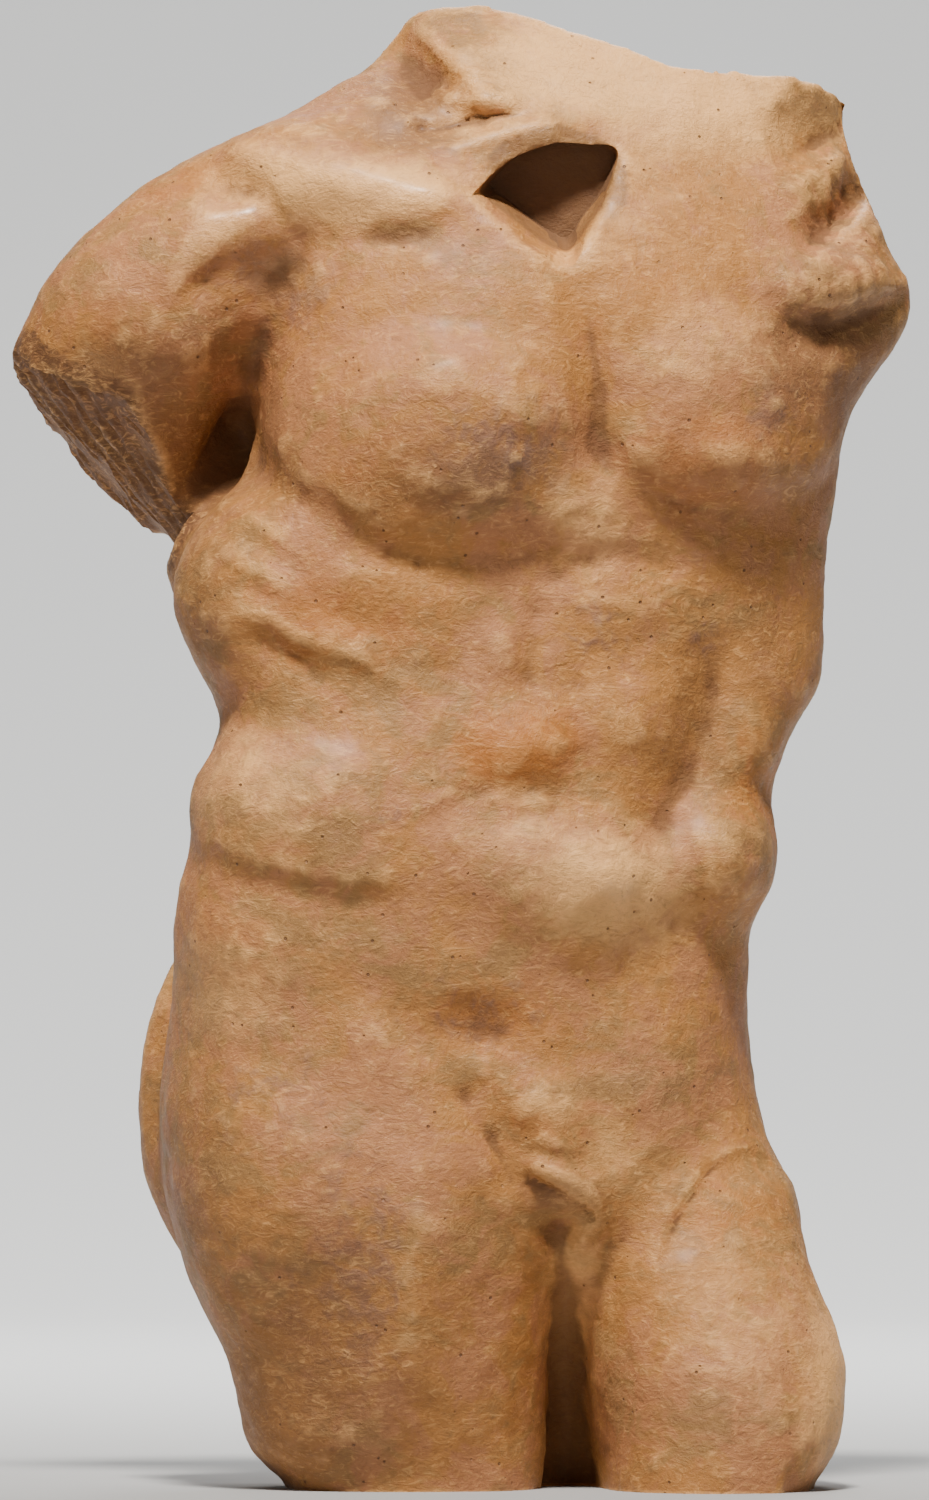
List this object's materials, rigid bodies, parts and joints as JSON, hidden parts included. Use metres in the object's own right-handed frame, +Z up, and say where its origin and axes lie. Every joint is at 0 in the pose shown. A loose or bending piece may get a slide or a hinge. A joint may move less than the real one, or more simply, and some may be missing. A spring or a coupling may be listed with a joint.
{
  "type": "male torso sculpture",
  "caption": "Life-size fragment of a standing male torso in patinated stone, broken at the neck and shoulders and cut flat across the thighs.",
  "frame": {"origin": "bottom centre of the part's box, on the flat cut under the thighs", "axes": "+Z up, along the height; the front of the body looks towards -Y; +X to the viewer's right, the figure's left"},
  "size_m": [0.553, 0.2972, 0.9017],
  "materials": {
    "patinated_stone": "waxed ochre and brown patina with a soft sheen"
  },
  "bodies": {
    "root": {"torso": "patinated_stone"}
  },
  "joints": []
}
